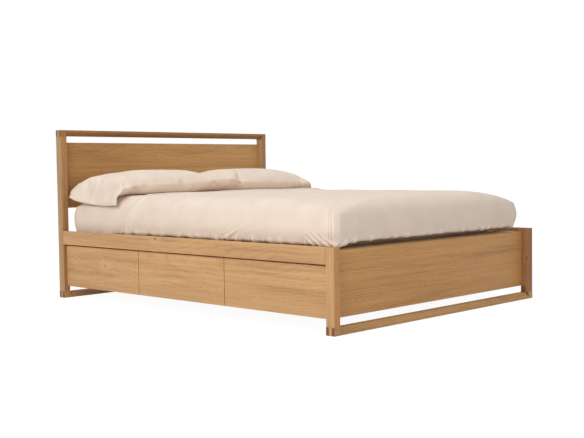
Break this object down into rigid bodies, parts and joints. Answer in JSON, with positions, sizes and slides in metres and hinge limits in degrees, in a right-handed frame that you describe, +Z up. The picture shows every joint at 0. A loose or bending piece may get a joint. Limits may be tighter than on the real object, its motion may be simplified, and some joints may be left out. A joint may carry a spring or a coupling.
{
  "type": "platform bed",
  "caption": "Platform bed with a slim framed headboard, side drawers in its base that slide out on runners, a slatted platform, a mattress and pillows.",
  "frame": {"origin": "on the floor, under the middle of the bed", "axes": "+Z up, +Y along the bed towards the headboard, +X across the bed; the foot is at -Y and the left side, seen from the foot, is at -X"},
  "size_m": [1.66, 2.145, 0.976],
  "materials": {
    "oak": "oiled natural oak, satin",
    "oak_veneer": "oiled oak veneer, satin",
    "veneered_ply": "veneered plywood, satin",
    "beech": "planed beech, matt",
    "birch_ply": "lacquered birch plywood, satin",
    "zinc_steel": "zinc plated",
    "brass": "turned",
    "nylon": "moulded",
    "bed_linen": "washed cotton percale"
  },
  "bodies": {
    "bed": {"head_post_left": "oak", "head_post_right": "oak", "head_top_rail": "oak", "head_bottom_rail": "oak", "head_panel": "oak_veneer", "foot_post_left": "oak", "foot_post_right": "oak", "foot_bottom_rail": "oak", "foot_panel": "oak_veneer", "side_rail_left": "oak", "side_rail_right": "oak", "head_end_board": "veneered_ply", "divider_head": "veneered_ply", "divider_foot": "veneered_ply", "centre_spine": "veneered_ply", "slat_ledgers": "beech", "slats": "beech", "centre_legs": "oak", "glides": "nylon", "rail_dowels": "beech", "corner_brackets": "zinc_steel", "bracket_bolts": "zinc_steel", "post_inserts": "brass", "panel_screws": "zinc_steel", "runner_rails": "zinc_steel", "mattress": "bed_linen", "pillow_left": "bed_linen", "pillow_right": "bed_linen"},
    "left_foot_drawer": {"left_foot_drawer_front": "oak", "left_foot_drawer_box": "birch_ply", "left_foot_drawer_bottom": "birch_ply", "left_foot_drawer_hardware": "zinc_steel"},
    "left_foot_carriage": {"left_foot_carriage": "zinc_steel"},
    "left_middle_drawer": {"left_middle_drawer_front": "oak", "left_middle_drawer_box": "birch_ply", "left_middle_drawer_bottom": "birch_ply", "left_middle_drawer_hardware": "zinc_steel"},
    "left_middle_carriage": {"left_middle_carriage": "zinc_steel"},
    "left_head_drawer": {"left_head_drawer_front": "oak", "left_head_drawer_box": "birch_ply", "left_head_drawer_bottom": "birch_ply", "left_head_drawer_hardware": "zinc_steel"},
    "left_head_carriage": {"left_head_carriage": "zinc_steel"},
    "right_foot_drawer": {"right_foot_drawer_front": "oak", "right_foot_drawer_box": "birch_ply", "right_foot_drawer_bottom": "birch_ply", "right_foot_drawer_hardware": "zinc_steel"},
    "right_foot_carriage": {"right_foot_carriage": "zinc_steel"},
    "right_middle_drawer": {"right_middle_drawer_front": "oak", "right_middle_drawer_box": "birch_ply", "right_middle_drawer_bottom": "birch_ply", "right_middle_drawer_hardware": "zinc_steel"},
    "right_middle_carriage": {"right_middle_carriage": "zinc_steel"},
    "right_head_drawer": {"right_head_drawer_front": "oak", "right_head_drawer_box": "birch_ply", "right_head_drawer_bottom": "birch_ply", "right_head_drawer_hardware": "zinc_steel"},
    "right_head_carriage": {"right_head_carriage": "zinc_steel"}
  },
  "joints": [
    {"name": "left_foot_drawer_slide", "type": "slide", "parent": "bed", "child": "left_foot_drawer", "axis": [-1, 0, 0], "range_m": [0, 0.58]},
    {"name": "left_foot_carriage_slide", "type": "slide", "parent": "bed", "child": "left_foot_carriage", "axis": [-1, 0, 0], "range_m": [0, 0.29]},
    {"name": "left_middle_drawer_slide", "type": "slide", "parent": "bed", "child": "left_middle_drawer", "axis": [-1, 0, 0], "range_m": [0, 0.58]},
    {"name": "left_middle_carriage_slide", "type": "slide", "parent": "bed", "child": "left_middle_carriage", "axis": [-1, 0, 0], "range_m": [0, 0.29]},
    {"name": "left_head_drawer_slide", "type": "slide", "parent": "bed", "child": "left_head_drawer", "axis": [-1, 0, 0], "range_m": [0, 0.58]},
    {"name": "left_head_carriage_slide", "type": "slide", "parent": "bed", "child": "left_head_carriage", "axis": [-1, 0, 0], "range_m": [0, 0.29]},
    {"name": "right_foot_drawer_slide", "type": "slide", "parent": "bed", "child": "right_foot_drawer", "axis": [1, 0, 0], "range_m": [0, 0.58]},
    {"name": "right_foot_carriage_slide", "type": "slide", "parent": "bed", "child": "right_foot_carriage", "axis": [1, 0, 0], "range_m": [0, 0.29]},
    {"name": "right_middle_drawer_slide", "type": "slide", "parent": "bed", "child": "right_middle_drawer", "axis": [1, 0, 0], "range_m": [0, 0.58]},
    {"name": "right_middle_carriage_slide", "type": "slide", "parent": "bed", "child": "right_middle_carriage", "axis": [1, 0, 0], "range_m": [0, 0.29]},
    {"name": "right_head_drawer_slide", "type": "slide", "parent": "bed", "child": "right_head_drawer", "axis": [1, 0, 0], "range_m": [0, 0.58]},
    {"name": "right_head_carriage_slide", "type": "slide", "parent": "bed", "child": "right_head_carriage", "axis": [1, 0, 0], "range_m": [0, 0.29]}
  ],
  "couplings": [
    {"joint": "left_foot_carriage_slide", "follows": "left_foot_drawer_slide", "ratio": 0.5},
    {"joint": "left_middle_carriage_slide", "follows": "left_middle_drawer_slide", "ratio": 0.5},
    {"joint": "left_head_carriage_slide", "follows": "left_head_drawer_slide", "ratio": 0.5},
    {"joint": "right_foot_carriage_slide", "follows": "right_foot_drawer_slide", "ratio": 0.5},
    {"joint": "right_middle_carriage_slide", "follows": "right_middle_drawer_slide", "ratio": 0.5},
    {"joint": "right_head_carriage_slide", "follows": "right_head_drawer_slide", "ratio": 0.5}
  ]
}
